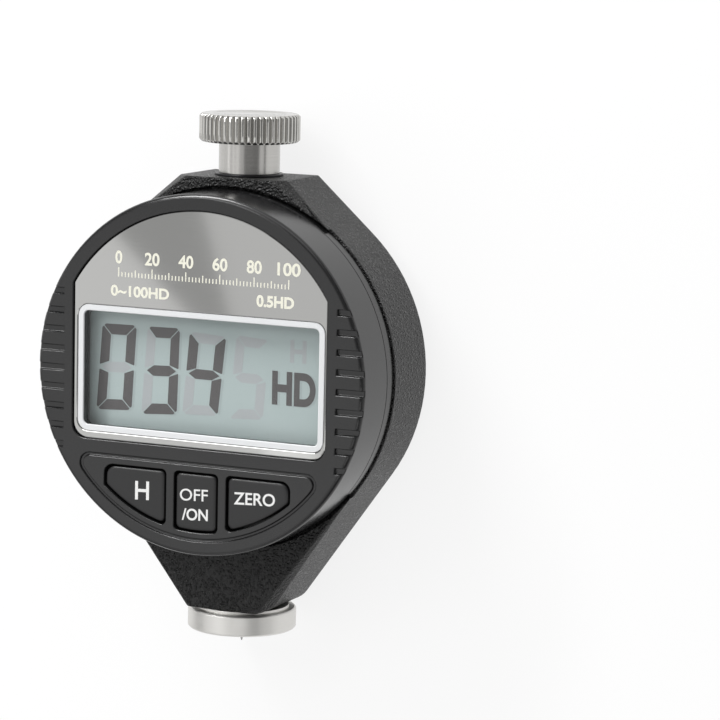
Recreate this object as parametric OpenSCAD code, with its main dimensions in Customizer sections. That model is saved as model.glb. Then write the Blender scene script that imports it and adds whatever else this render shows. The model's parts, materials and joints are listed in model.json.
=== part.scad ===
// Pocket digital durometer lying on its back cover, display up.
// X runs to the right across the display, Y from the presser foot to the knob, Z out of the display.
// The origin lies on the outer face of the back cover, under the centre of the display.

/* [Measuring end] */
// Diameter of the presser foot
foot_d = 18; // [17.5:0.1:18.5]
// Thickness of the presser foot
foot_t = 3.5; // [3:0.1:5]
// How far the indenter stands out of the presser foot at rest
needle_out = 2.5; // [2:0.1:2.6]
// Diameter of the indenter
needle_d = 1.25; // [1.1:0.05:1.4]
// Diameter of the spindle
spindle_d = 4; // [3.6:0.1:4.4]

/* [Handle] */
// Diameter of the handle post
post_d = 10; // [9.6:0.1:11]
// Visible length of the handle post
post_len = 5.1; // [4:0.1:10]
// Diameter of the knurled knob
knob_d = 16.5; // [14:0.1:17.5]
// Height of the knurled knob
knob_t = 4.6; // [4:0.1:7]
// Number of teeth of the knurl
knurl_teeth = 50; // [36:1:60]

/* [Casing] */
// Radius of the round part of the casing
casing_r = 29.6; // [27:0.1:33]
// Depth of the casing from its back edge to its front face
casing_depth = 13.9; // [12.5:0.1:15]
// How far the upper end of the casing stands out past its round part
casing_top = 1.5; // [1.2:0.1:4]
// How far the lower end of the casing stands out past its round part
casing_bottom = 10.6; // [9:0.1:13]
// Half width of the casing at its upper end
top_half_w = 9.6; // [9.2:0.1:10.5]
// Half width of the casing at its lower end
bottom_half_w = 7.7; // [7.4:0.1:8.5]
// Wall thickness of the casing
casing_wall = 2.2; // [1.8:0.1:2.4]

/* [Display] */
// Diameter of the display housing
display_d = 58.5; // [54:0.1:64]
// Height of the display shell above its parting line
shell_h = 9.05; // [8.5:0.05:11]
// Width of the white window border
window_w = 44; // [38:0.5:48]
// Height of the white window border
window_h = 21; // [18:0.5:23]
// Number of finger grooves on each side of the shell
groove_count = 9; // [5:1:9]
// How far a button can be pressed
button_travel = 0.4; // [0.2:0.05:0.45]

/* [Hidden] */
$fn = 96;

// Cuts run past the surface that they open by this much
past = 0.1;
// Free space between a loose piece and its seat
seat_gap = 0.1;
// Running clearance on the radius of a sliding shaft
run_gap = 0.03;

// Heights above the back cover's outer face
floor_gap = 0.2;
axis_z = foot_d / 2 + floor_gap;
axis_to_front = 7.6;
casing_front_z = axis_z + axis_to_front;
casing_back_z = casing_front_z - casing_depth;
display_seat_z = casing_front_z - 1.5;
cavity_top_z = display_seat_z - casing_wall;
base_t = 2.4;
parting_z = display_seat_z + base_t;
front_z = parting_z + shell_h;
plate_floor_z = front_z - 1.5;
plate_top_z = front_z - 0.3;
border_top_z = plate_floor_z + 0.2;
shell_inner_z = plate_floor_z - 1.4;
board_z0 = parting_z + 1.3;
board_z1 = board_z0 + 1.4;
lcd_z1 = shell_inner_z - 0.6;
lcd_z0 = lcd_z1 - 1;
holder_z1 = shell_inner_z - 0.3;
button_z0 = shell_inner_z - 1.4;
button_z1 = front_z - 0.15;
switch_z1 = button_z0 - button_travel - seat_gap;

// Places along the measuring axis
top_y = casing_r + casing_top;
low_y = -casing_r - casing_bottom;
foot_top_y = low_y - 0.45;
foot_face_y = foot_top_y - foot_t;
tip_y = foot_face_y - needle_out;
foot_stem_top_y = low_y + 7.2;
bush_len = 6.4;
bush_bottom_y = foot_stem_top_y - bush_len;
collar_len = 4;
collar_y = foot_stem_top_y + 0.1;
spindle_bottom_y = foot_face_y + 3.6;
needle_top_y = collar_y + collar_len + 0.5;
bracket_y = -5;
bracket_len = 8;
spring_seat_y = 11;
post_stem_y = top_y - 6;
washer_t = 0.35;
knob_y = top_y + washer_t + post_len;
adjust_y = top_y - 4;
adjust_len = 4;
tail_top_y = top_y - 0.5;

// Diameters on the measuring axis
bush_d = spindle_d + 2.4;
foot_stem_d = bush_d + 3.6;
foot_hole_d = needle_d + 1.75;
collar_d = spindle_d + 3;
tail_d = spindle_d - 1;
post_bore_d = post_d - 3.6;
post_stem_d = post_d - 1.4;
spring_wire_d = 0.7;
spring_mean_d = post_bore_d - spring_wire_d - 0.7;
spring_turns = 9;
stud_r = 3;
stud_len = 2.6;
spring_gap = 0.02;

// Display layout, seen from the front
display_r = display_d / 2;
shell_wall = 1.8;
shell_inner_r = display_r - shell_wall;
window_y = -0.5;
border_w = 0.9;
plate_margin = 0.8;
plate_half_w = window_w / 2 + plate_margin;
plate_bottom_y = window_y - window_h / 2 - plate_margin;
plate_r = max(display_r - 2.65, norm([plate_half_w, window_h / 2]));
moon_r = display_r - 2.35;
moon_top_y = plate_bottom_y - 2.2;
button_top_y = moon_top_y - 1.9;
button_arc_r = moon_r - 1.75;
middle_button_half_w = 3.65;
side_button_end_h = 3.1;
side_button_x = [middle_button_half_w + 2.05, arc_x(button_arc_r, button_top_y - side_button_end_h)];
stem_d = 2;
side_switch = [(side_button_x[0] + side_button_x[1]) / 2 - 0.6, button_top_y - 3.4];
switch_places = [[-side_switch[0], side_switch[1]], [0, button_top_y - 4.1], side_switch];

// Liquid crystal panel and its holder
lcd_w = window_w + 0.4;
lcd_h = window_h + 0.4;
lcd_holder_wall = 0.9;
lcd_holder_low_y = window_y - lcd_h / 2 - lcd_holder_wall;
lcd_holder_high_y = window_y + lcd_h / 2 + lcd_holder_wall;

// Screws and the bosses that take them
cover_screw_d = 2;
cover_head_d = 4.3;
cover_post_d = 7;
base_screw_d = 2;
base_head_d = 3.8;
shell_screw_d = 1.7;
shell_head_d = 3.6;
shell_boss_d = 4.4;
board_screw_d = 1.6;
board_head_d = 2.6;
board_boss_d = 4;
boss_circle_r = display_r - 3.7;
boss_low_y = lcd_holder_low_y - shell_boss_d / 2 - 0.35;
boss_places = [for (k = [1, -1]) each [boss_circle_r * [k * cos(60), sin(60)],
    [k * arc_x(boss_circle_r, boss_low_y), boss_low_y]]];
board_circle_r = shell_inner_r - board_boss_d / 2 - 0.35;
board_high_y = lcd_holder_high_y + board_head_d / 2 + 2.1;
board_screw_places = [[arc_x(board_circle_r, board_high_y), board_high_y],
    [-arc_x(board_circle_r, board_high_y), board_high_y], [0, lcd_holder_low_y - board_head_d / 2 - 0.2]];
base_screw_places = [for (a = [50, 130, 230, 310]) (display_r - 8.25) * [cos(a), sin(a)]];
cover_circle_r = casing_r - casing_wall - 3.4;
cover_screw_places = [for (a = [37, 143, 323, 217]) cover_circle_r * [cos(a), sin(a)]];

// Coin cell, its holder and its cap
battery_d = 16;
battery_h = 3.2;
cap_d = battery_d + 1.6;
lug_r = cap_d / 2 + 1.1;
holder_flange_r = lug_r + 0.9;
holder_wall_gap = 1.4;
battery_place = [holder_flange_r + holder_wall_gap - (casing_r - casing_wall), 0];
cap_turn = 60;
lug_w = 4;
cap_top_z = casing_back_z - 0.5;
lug_z0 = cap_top_z / 2 + 0.1;
battery_z0 = casing_back_z - 0.4;
battery_top_z = battery_z0 + battery_h;
holder_floor_z = battery_top_z + 0.9;

// Slot through which the sensor bracket reaches the display
bracket_half_w = spindle_d / 2 + 0.6;
slot_half_w = bracket_half_w + 0.3;
slot_half_len = 9;

black_paint = [0.07, 0.07, 0.075];
charcoal = [0.2, 0.2, 0.21];
steel = [0.72, 0.72, 0.72];
bronze = [0.66, 0.5, 0.28];

// Distance from the middle to a circle about the origin, at height y
function arc_x(r, y) = sqrt(r * r - y * y);
// Angle of a direction in the plane
function turn_of(v) = atan2(v[1], v[0]);
// Direction of length one
function unit(v) = v / norm(v);
// Points along a circle about the origin, each with a corner radius of zero
function arc(r, a0, a1, n) = [for (i = [0:n]) let (a = a0 + (a1 - a0) * i / n) [r * cos(a), r * sin(a), 0]];
// Smallest signed turn from one angle to another
function signed_turn(a0, a1) = let (d = a1 - a0) d - 360 * round(d / 360);
// Points that round the corner q between p and s with radius r
function corner(p, q, s, r) =
    let (u = unit(p - q), v = unit(s - q), half = acos(u * v) / 2)
    let (c = q + unit(u + v) * r / sin(half), reach = r / tan(half))
    let (a0 = turn_of(q + u * reach - c), sweep = signed_turn(a0, turn_of(q + v * reach - c)))
    [for (i = [0:6]) c + r * [cos(a0 + sweep * i / 6), sin(a0 + sweep * i / 6)]];
function flat(p) = [p[0], p[1]];
// Outline with rounded corners from points that each hold x, y and the corner's radius
function rounded(points) = let (n = len(points))
    [for (i = [0:n - 1]) each points[i][2] == 0 ? [flat(points[i])]
        : corner(flat(points[(i + n - 1) % n]), flat(points[i]), flat(points[(i + 1) % n]), points[i][2])];
// Rectangle with rounded corners about a centre
function round_box(w, h, r, c = [0, 0]) =
    rounded([for (k = [[1, 1], [-1, 1], [-1, -1], [1, -1]]) [c[0] + k[0] * w / 2, c[1] + k[1] * h / 2, r]]);
// Angle at which a straight line from a corner touches a circle about the origin
function touch_angle(p, r, side) = turn_of(p) - side * acos(r / norm(p));
// Outline of the casing, drawn in by an inset, from the upper right corner round to the lower right corner
function casing_outline(inset) =
    let (r = casing_r - inset)
    let (top = [top_half_w - 0.6 * inset, top_y - inset])
    let (low = [bottom_half_w - 0.5 * inset, low_y + inset])
    let (a_top = touch_angle(top, r, 1), a_low = touch_angle(low, r, -1))
    rounded(concat(
        [[low[0], low[1], max(1, 4.4 - inset)]],
        arc(r, a_low, a_top, 24),
        [[top[0], top[1], 0], [-top[0], top[1], 0]],
        arc(r, 180 - a_top, 180 - a_low, 24),
        [[-low[0], low[1], max(1, 4.4 - inset)]]
    ));
// Outline of the grey face plate, drawn in by an inset
function plate_outline(inset) =
    let (r = plate_r - inset, w = plate_half_w - inset, low = plate_bottom_y + inset, a = acos(w / r))
    rounded(concat([[w, low, 2.4]], arc(r, a, 180 - a, 32), [[-w, low, 2.4]]));
// Outline of the half moon round the buttons, drawn in by an inset
function moon_outline(inset) =
    let (r = moon_r - inset, top = moon_top_y - inset, a = asin(top / r), corner_r = 1.8 - inset, clear = 7.5)
    rounded(concat([[r * cos(a), top, corner_r], [-r * cos(a), top, corner_r]],
        arc(r, -180 - a + clear, a - clear, 32)));
// Outline of a side button, grown by a margin, on the right or the left of the middle
function side_button_outline(side, grow) =
    let (x0 = side_button_x[0] - grow, x1 = side_button_x[1] + grow)
    let (top = button_top_y + grow, r = button_arc_r + grow)
    let (a0 = -acos(x0 / r), a1 = -acos(x1 / r))
    let (right = concat([[x0, top, 0.8], [x0, r * sin(a0), 0.8]], arc(r, a0 + 3, a1 - 3, 8),
        [[x1, r * sin(a1), 0.7], [x1, top, 1.6]]))
    rounded([for (p = right) [side * p[0], p[1], p[2]]]);
// Outline of the middle button, grown by a margin
function middle_button_outline(grow) =
    let (w = middle_button_half_w + grow, top = button_top_y + grow, r = button_arc_r + grow, a = acos(w / r))
    rounded(concat([[w, top, 0.8], [-w, top, 0.8], [-w, -r * sin(a), 0.8]],
        arc(r, 180 + a + 2, 360 - a - 2, 6), [[w, -r * sin(a), 0.8]]));

// Puts a shape that was drawn along Z onto the measuring axis, from y towards the knob
module along_axis(y) { translate([0, y, axis_z]) rotate([-90, 0, 0]) children(); }
// Straight prism between two heights
module prism(points, z0, z1) { translate([0, 0, z0]) linear_extrude(z1 - z0) polygon(points); }
// Round pin between two heights
module pin(place, d, z0, z1) { translate([place[0], place[1], z0]) cylinder(d = d, h = z1 - z0); }
// Body of revolution about Z from radius and height pairs
module turned(points) { rotate_extrude() polygon(points); }
// Block from its lower to its upper corner
module block(a, b) { translate(a) cube(b - a); }

// Casing

// Wedge that takes the front edge off a slanted side, widest at the end of the casing
module edge_wedge(end, round_end, side) {
    facet_drop = 2.05;
    facet_width = 1.15;
    run = flat(round_end) - flat(end);
    slope = atan(facet_drop / facet_width);
    narrow = atan(facet_width / norm(run));
    outside = 8;
    inside = 3;
    height = 6;
    translate([round_end[0], round_end[1], casing_front_z])
        rotate([0, 0, turn_of(run) - side * narrow])
            rotate([side * slope, 0, 0])
                block([-norm(run) - outside, side > 0 ? -outside : -inside, 0],
                    [inside, side > 0 ? inside : outside, height]);
}

// The four edge facets of the casing
module casing_facets() {
    top = [top_half_w, top_y];
    low = [bottom_half_w, low_y];
    a_top = touch_angle(top, casing_r, 1);
    a_low = touch_angle(low, casing_r, -1);
    for (m = [0, 1]) mirror([m, 0, 0]) {
        edge_wedge(top, casing_r * [cos(a_top), sin(a_top)], -1);
        edge_wedge(low, casing_r * [cos(a_low), sin(a_low)], 1);
    }
}

module casing() {
    recess_r = display_r + 0.45;
    color(black_paint) difference() {
        prism(casing_outline(0), casing_back_z, casing_front_z);
        casing_facets();
        pin([0, 0], 2 * recess_r, display_seat_z, casing_front_z + past);
        difference() {
            prism(casing_outline(casing_wall), casing_back_z - past, cavity_top_z);
            block([-casing_r, post_stem_y, 0], [casing_r, top_y, casing_front_z]);
            block([-casing_r, low_y, 0], [casing_r, foot_stem_top_y, casing_front_z]);
            for (p = cover_screw_places) pin(p, cover_post_d, 0, casing_front_z);
        }
        prism(round_box(2 * slot_half_w, 2 * slot_half_len, 1), cavity_top_z - past, display_seat_z + past);
        for (p = cover_screw_places) pin(p, cover_screw_d, casing_back_z - past, casing_back_z + 6.2);
        for (p = base_screw_places) pin(p, base_screw_d + 0.2, cavity_top_z - past, display_seat_z + past);
        along_axis(low_y - past) cylinder(d = foot_stem_d, h = foot_stem_top_y - low_y + 2 * past);
        along_axis(post_stem_y - past) cylinder(d = post_stem_d, h = top_y - post_stem_y + 2 * past);
    }
}

module back_cover() {
    cover_inset = 2;
    hole_d = cover_screw_d + 0.4;
    sink_d = cover_head_d + 0.5;
    lug_gap = 0.15;
    color(black_paint) difference() {
        prism(casing_outline(cover_inset), 0, casing_back_z);
        for (p = cover_screw_places) {
            pin(p, hole_d, -past, casing_back_z + past);
            translate([p[0], p[1], -past])
                cylinder(d1 = sink_d, d2 = hole_d, h = (sink_d - hole_d) / 2 + 2 * past);
        }
        pin(battery_place, cap_d + 2 * seat_gap, -past, casing_back_z + past);
        pin(battery_place, 2 * (lug_r + lug_gap), lug_z0 - 2 * seat_gap, casing_back_z + past);
        translate([battery_place[0], battery_place[1], -past]) rotate([0, 0, cap_turn])
            linear_extrude(lug_z0 + past) square([2 * (lug_r + lug_gap), lug_w + 2 * lug_gap], center = true);
    }
}

// Countersunk screw, head down, with a straight slot
module countersunk_screw(place, z0, d, head_d, len) {
    head_h = (head_d - d) / 2;
    translate([place[0], place[1], z0]) difference() {
        turned([[0, 0], [head_d / 2, 0], [d / 2, head_h], [d / 2, len], [0, len]]);
        block([-head_d, -0.25, -past], [head_d, 0.25, 0.5]);
    }
}

// Cheese-head screw with the head at z0; up tells which way the shank points
module head_screw(place, z0, d, head_d, head_h, len, up) {
    translate([place[0], place[1], z0]) rotate([up ? 0 : 180, 0, 0]) difference() {
        turned([[0, -head_h], [head_d / 2, -head_h], [head_d / 2, 0], [d / 2, 0], [d / 2, len], [0, len]]);
        block([-head_d, -0.25, -head_h - past], [head_d, 0.25, 0.5 - head_h]);
    }
}

module back_cover_screw(i) {
    sunk = 0.15;
    len = casing_back_z + 5.1;
    color(steel) countersunk_screw(cover_screw_places[i - 1], sunk, cover_screw_d, cover_head_d, len);
}

// Measuring end

module presser_foot() {
    rim = 0.3;
    stem_r = foot_stem_d / 2;
    seat_y = bush_bottom_y - foot_face_y;
    top = foot_stem_top_y - foot_face_y;
    collar_r = foot_d / 2 - 1.2;
    color(steel) along_axis(foot_face_y) turned([
        [foot_hole_d / 2, 0], [foot_d / 2 - rim, 0], [foot_d / 2, rim], [foot_d / 2, foot_t - rim],
        [foot_d / 2 - rim, foot_t], [collar_r, foot_t], [collar_r, low_y - foot_face_y],
        [stem_r, low_y - foot_face_y], [stem_r, top], [bush_d / 2, top], [bush_d / 2, seat_y - 2],
        [foot_hole_d / 2, seat_y - 2]]);
}

module lower_guide_bush() {
    color(bronze) along_axis(bush_bottom_y) difference() {
        cylinder(d = bush_d, h = bush_len);
        translate([0, 0, -past]) cylinder(d = spindle_d + 2 * run_gap, h = bush_len + 2 * past);
    }
}

module spindle() {
    r = spindle_d / 2;
    shoulder = spring_seat_y - spindle_bottom_y;
    shoulder_r = r + 1;
    collar = collar_y - spindle_bottom_y;
    color(steel) difference() {
        along_axis(spindle_bottom_y) turned([
            [needle_d / 2, 0], [r, 0], [r, collar], [collar_d / 2, collar],
            [collar_d / 2, collar + collar_len],
            [r, collar + collar_len], [r, shoulder - 1], [shoulder_r, shoulder - 1],
            [shoulder_r, shoulder], [tail_d / 2, shoulder],
            [tail_d / 2, tail_top_y - spindle_bottom_y], [0, tail_top_y - spindle_bottom_y],
            [0, needle_top_y - spindle_bottom_y], [needle_d / 2, needle_top_y - spindle_bottom_y]]);
        translate([0, collar_y + collar_len / 2, axis_z - collar_d]) cylinder(d = 1.6, h = collar_d);
    }
}

module indenter() {
    tip_flat = 0.1;
    cone = (needle_d / 2 - tip_flat) / tan(15);
    color(steel) along_axis(tip_y) turned([[0, 0], [tip_flat, 0], [needle_d / 2, cone],
        [needle_d / 2, needle_top_y - tip_y], [0, needle_top_y - tip_y]]);
}

module indenter_screw() {
    color(charcoal) translate([0, collar_y + collar_len / 2, axis_z - collar_d / 2 + 0.2]) difference() {
        cylinder(d = 1.6, h = collar_d / 2 - 0.2 - needle_d / 2);
        translate([0, 0, -past]) cylinder(d = 0.8, h = 0.9, $fn = 6);
    }
}

bracket_top_z = display_seat_z + 1.9;
bracket_below = spindle_d / 2 + 1.6;
bracket_screw_d = 2;
strip_t = 0.3;

module sensor_bracket() {
    color([0.75, 0.75, 0.72]) difference() {
        block([-bracket_half_w, bracket_y, axis_z - bracket_below],
            [bracket_half_w, bracket_y + bracket_len, bracket_top_z]);
        along_axis(bracket_y - past) cylinder(d = spindle_d, h = bracket_len + 2 * past);
        translate([0, bracket_y + bracket_len / 2, axis_z - bracket_below - past])
            cylinder(d = bracket_screw_d, h = bracket_below + past);
    }
}

module bracket_screw() {
    len = bracket_below - 0.2 - spindle_d / 2;
    color(charcoal) translate([0, bracket_y + bracket_len / 2, axis_z - spindle_d / 2 - len]) difference() {
        cylinder(d = bracket_screw_d, h = len);
        translate([0, 0, -past]) cylinder(d = 1, h = 0.8, $fn = 6);
    }
}

module scale_strip() {
    half_w = bracket_half_w - 0.2;
    y0 = bracket_y + 0.2;
    y1 = bracket_y + bracket_len - 0.2;
    color([0.1, 0.35, 0.2]) block([-half_w, y0, bracket_top_z], [half_w, y1, bracket_top_z + strip_t]);
}

// Points of one ring of the spring's wire, at turn t
function spring_ring(t, sides) =
    let (pitch = (adjust_y - spring_seat_y - 2 * spring_gap - spring_wire_d) / spring_turns, a = 360 * t)
    [for (k = [0:sides - 1]) let (b = 360 * k / sides, r = spring_mean_d / 2 + spring_wire_d / 2 * cos(b))
        [r * cos(a), r * sin(a), spring_wire_d / 2 + pitch * t + spring_wire_d / 2 * sin(b)]];

module measuring_spring() {
    sides = 8;
    steps = 16 * spring_turns;
    points = [for (i = [0:steps]) each spring_ring(i * spring_turns / steps, sides)];
    walls = [for (i = [0:steps - 1]) for (k = [0:sides - 1])
        let (a = i * sides + k, b = i * sides + (k + 1) % sides) [a, b, b + sides, a + sides]];
    first = [for (k = [0:sides - 1]) sides - 1 - k];
    last = [for (k = [0:sides - 1]) steps * sides + k];
    color([0.55, 0.55, 0.57]) along_axis(spring_seat_y + spring_gap)
        polyhedron(points, concat([first], [last], walls));
}

// Handle

module handle_post() {
    stem = top_y - post_stem_y;
    shoulder = stem + washer_t;
    top = knob_y - post_stem_y;
    bore_top = stem + 3.6;
    color(steel) along_axis(post_stem_y) turned([
        [post_bore_d / 2, 0], [post_stem_d / 2, 0], [post_stem_d / 2, shoulder], [post_d / 2, shoulder],
        [post_d / 2, top], [stud_r, top], [stud_r, top + stud_len], [0, top + stud_len], [0, bore_top],
        [post_bore_d / 2, bore_top]]);
}

module post_washer() {
    color(steel) along_axis(top_y) difference() {
        cylinder(d = post_d + 1.2, h = washer_t);
        translate([0, 0, -past]) cylinder(d = post_stem_d, h = washer_t + 2 * past);
    }
}

module adjusting_screw() {
    color(bronze) along_axis(adjust_y) difference() {
        cylinder(d = post_bore_d, h = adjust_len);
        translate([0, 0, -past]) cylinder(d = tail_d + 2 * run_gap, h = adjust_len + 2 * past);
        translate([0, 0, adjust_len]) cube([8, 0.8, 1.2], center = true);
    }
}

module handle_knob() {
    r = knob_d / 2;
    tooth = 0.4;
    edge = 0.45;
    step = 360 / knurl_teeth;
    teeth = [for (i = [0:knurl_teeth - 1]) each
        [for (k = [[0, 0], [0.5, tooth], [0.75, tooth]])
            let (a = step * (i + k[0])) (r - tooth + k[1]) * [cos(a), sin(a)]]];
    color(steel) along_axis(knob_y) difference() {
        intersection() {
            linear_extrude(knob_t) polygon(teeth);
            turned([[0, 0], [r - edge, 0], [r + past, edge + past], [r + past, knob_t - edge - past],
                [r - edge, knob_t], [0, knob_t]]);
        }
        translate([0, 0, -past]) cylinder(r = stud_r, h = stud_len + past);
    }
}

// Display

module display_base() {
    color(charcoal) difference() {
        union() {
            pin([0, 0], display_d, display_seat_z, parting_z);
            for (p = board_screw_places) pin(p, board_boss_d, display_seat_z + past, board_z0);
        }
        prism(round_box(2 * slot_half_w + 5, 2 * slot_half_len, 1), display_seat_z - past, parting_z + past);
        for (p = base_screw_places) pin(p, base_screw_d, display_seat_z - past, parting_z - 0.4);
        for (p = board_screw_places) pin(p, board_screw_d, display_seat_z + 0.6, board_z0 + past);
        for (p = boss_places) {
            hole_d = shell_screw_d + 0.5;
            sink_d = shell_head_d + 0.6;
            pin(p, hole_d, display_seat_z - past, parting_z + past);
            translate([p[0], p[1], display_seat_z - past])
                cylinder(d1 = sink_d, d2 = hole_d, h = (sink_d - hole_d) / 2 + past);
        }
    }
}

module base_screw(i) {
    len = casing_wall + base_t - 0.6;
    head_h = 1.4;
    color(steel)
        head_screw(base_screw_places[i - 1], cavity_top_z, base_screw_d, base_head_d, head_h, len, true);
}

// Outer shell of the display as turned, before anything is cut into its front
module shell_blank() {
    edge_r = 0.8;
    rounding = [for (a = [0:15:90])
        [display_r - edge_r * (1 - cos(a)), front_z - edge_r * (1 - sin(a))]];
    turned(concat([[shell_inner_r, parting_z], [display_r, parting_z]], rounding,
        [[0, front_z], [0, shell_inner_z], [shell_inner_r, shell_inner_z]]));
}

// Finger grooves, open at the rim, on both sides of the shell
module rim_grooves() {
    pitch = 3.15;
    groove_h = 1;
    groove_depth = 0.6;
    inner_x = plate_half_w + 1.65;
    for (i = [0:groove_count - 1]) for (side = [1, -1]) {
        y = window_y + pitch * (i - (groove_count - 1) / 2);
        block([side > 0 ? inner_x : -display_r - 1, y - groove_h / 2, front_z - groove_depth],
            [side > 0 ? display_r + 1 : -inner_x, y + groove_h / 2, front_z + past]);
    }
}

module display_shell() {
    button_gap = 0.3;
    moon_line = 0.5;
    moon_depth = 0.35;
    color(charcoal) difference() {
        union() {
            shell_blank();
            for (p = boss_places) pin(p, shell_boss_d, parting_z, shell_inner_z + past);
        }
        prism(plate_outline(0), plate_floor_z, front_z + past);
        prism(round_box(window_w - 2 * border_w, window_h - 2 * border_w, 1.2, [0, window_y]),
            shell_inner_z - past, plate_floor_z + past);
        difference() {
            prism(moon_outline(0), front_z - moon_depth, front_z + past);
            prism(moon_outline(moon_line), front_z - 1, front_z + 1);
        }
        rim_grooves();
        for (side = [1, -1])
            prism(side_button_outline(side, button_gap), shell_inner_z - past, front_z + past);
        prism(middle_button_outline(button_gap), shell_inner_z - past, front_z + past);
        for (p = boss_places) pin(p, shell_screw_d, parting_z - past, shell_inner_z - 0.4);
    }
}

module shell_screw(i) {
    len = shell_inner_z - display_seat_z - 1.5;
    color(steel) countersunk_screw(boss_places[i - 1], display_seat_z, shell_screw_d, shell_head_d, len);
}

module face_plate() {
    color([0.55, 0.56, 0.57]) difference() {
        prism(plate_outline(seat_gap), plate_floor_z, plate_top_z);
        prism(round_box(window_w, window_h, 1.9, [0, window_y]), plate_floor_z - past, plate_top_z + past);
    }
}

module window_border() {
    color("white") difference() {
        prism(round_box(window_w, window_h, 1.9, [0, window_y]), plate_floor_z, border_top_z);
        prism(round_box(window_w - 2 * border_w, window_h - 2 * border_w, 1.2, [0, window_y]),
            plate_floor_z - past, border_top_z + past);
    }
}

module window_lens() {
    color([0.85, 0.9, 0.92, 0.35])
        prism(round_box(window_w, window_h, 1.9, [0, window_y]), border_top_z, plate_top_z);
}

// Keeps a piece inside the round wall of the shell
module inside_shell() {
    intersection() {
        children();
        pin([0, 0], 2 * (shell_inner_r - 0.2), board_z1, shell_inner_z);
    }
}

module lcd_panel() {
    half = [lcd_w / 2, lcd_h / 2];
    color([0.62, 0.68, 0.67]) inside_shell()
        block(concat([0, window_y] - half, lcd_z0), concat([0, window_y] + half, lcd_z1));
}

module lcd_holder() {
    gap = 0.05;
    inner = [lcd_w / 2 + gap, lcd_h / 2 + gap];
    outline = round_box(lcd_w + 2 * lcd_holder_wall, lcd_h + 2 * lcd_holder_wall, 0.6, [0, window_y]);
    color(charcoal) difference() {
        inside_shell() prism(outline, board_z1, holder_z1);
        block(concat([0, window_y] - inner, board_z1 - past),
            concat([0, window_y] + inner, holder_z1 + past));
    }
}

module contact_strip(i) {
    y = window_y + (i == 1 ? 1 : -1) * (lcd_h / 2 - 1.2);
    color([0.25, 0.25, 0.28]) block([-lcd_w / 2 + 1, y - 1, board_z1], [lcd_w / 2 - 1, y + 1, lcd_z0]);
}

module circuit_board() {
    board_r = shell_inner_r - 0.6;
    color([0.08, 0.3, 0.16]) difference() {
        pin([0, 0], 2 * board_r, board_z0, board_z1);
        for (p = boss_places) pin(p, shell_boss_d + 1, board_z0 - past, board_z1 + past);
        for (p = board_screw_places) pin(p, board_screw_d, board_z0 - past, board_z1 + past);
    }
}

module board_screw(i) {
    head_h = 0.9;
    len = 3.2;
    color(steel)
        head_screw(board_screw_places[i - 1], board_z1, board_screw_d, board_head_d, head_h, len, false);
}

module sensor_head() {
    sensor_gap = 0.4;
    color([0.15, 0.15, 0.15])
        block([-bracket_half_w, bracket_y + 2, bracket_top_z + strip_t + sensor_gap],
            [bracket_half_w, bracket_y + bracket_len + 4, board_z0]);
}

// Tact switch body under a button
module switch_body(place) {
    half = [2.5, 2.5];
    color([0.12, 0.12, 0.12]) difference() {
        block(concat(place - half, board_z1), concat(place + half, switch_z1));
        pin(place, stem_d + 0.6, switch_z1 - 0.7, switch_z1 + past);
    }
}

// Switch stem that goes down with its button
module switch_stem(place) { color([0.8, 0.8, 0.78]) pin(place, stem_d, switch_z1 - 0.15, button_z0); }

// Button cap with a wider flange under the shell's front
module button_cap(cap_points, flange_points) {
    color(charcoal) union() {
        prism(flange_points, button_z0, button_z0 + 1);
        prism(cap_points, button_z0 + 0.5, button_z1);
    }
}

module side_button(side) { button_cap(side_button_outline(side, 0), side_button_outline(side, 0.8)); }

module power_button() { button_cap(middle_button_outline(0), middle_button_outline(0.8)); }

// Power

module battery_holder() {
    ring_d = battery_d + 2.8;
    color([0.1, 0.1, 0.1]) difference() {
        union() {
            pin(battery_place, ring_d, casing_back_z, holder_floor_z + 1.2);
            pin(battery_place, 2 * holder_flange_r, casing_back_z, casing_back_z + 0.8);
        }
        pin(battery_place, battery_d + 0.4, casing_back_z - past, holder_floor_z);
    }
}

module battery_cell() { color([0.8, 0.8, 0.8]) pin(battery_place, battery_d, battery_z0, battery_top_z); }

module battery_contact() {
    color([0.8, 0.75, 0.55]) translate([battery_place[0], battery_place[1], 0])
        block([-5, -2, battery_top_z], [5, 2, holder_floor_z]);
}

module battery_cap() {
    slot_len = cap_d - 5.6;
    slot_w = 1.8;
    cap_z0 = 0.1;
    color(charcoal) translate([battery_place[0], battery_place[1], 0]) difference() {
        union() {
            translate([0, 0, cap_z0]) cylinder(d = cap_d, h = cap_top_z - cap_z0);
            intersection() {
                translate([0, 0, lug_z0]) cylinder(r = lug_r, h = cap_top_z - lug_z0);
                block([-lug_r, -lug_w / 2, 0], [lug_r, lug_w / 2, casing_back_z]);
            }
        }
        block([-slot_len / 2, -slot_w / 2, -past], [slot_len / 2, slot_w / 2, cap_top_z / 2]);
    }
}

// Drawing

casing();
back_cover();
for (i = [1:4]) back_cover_screw(i);
presser_foot();
lower_guide_bush();
handle_post();
handle_knob();
post_washer();
adjusting_screw();
display_base();
for (i = [1:4]) base_screw(i);
display_shell();
for (i = [1:4]) shell_screw(i);
face_plate();
window_border();
window_lens();
lcd_panel();
lcd_holder();
for (i = [1:2]) contact_strip(i);
circuit_board();
for (i = [1:3]) board_screw(i);
sensor_head();
switch_body(switch_places[0]);  // hold_switch
switch_body(switch_places[1]);  // power_switch
switch_body(switch_places[2]);  // zero_switch
battery_holder();
battery_cell();
battery_contact();
battery_cap();
spindle();
indenter();
indenter_screw();
sensor_bracket();
scale_strip();
bracket_screw();
measuring_spring();
side_button(-1);  // hold_button
power_button();
side_button(1);  // zero_button
switch_stem(switch_places[0]);  // hold_stem
switch_stem(switch_places[1]);  // power_stem
switch_stem(switch_places[2]);  // zero_stem
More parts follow.
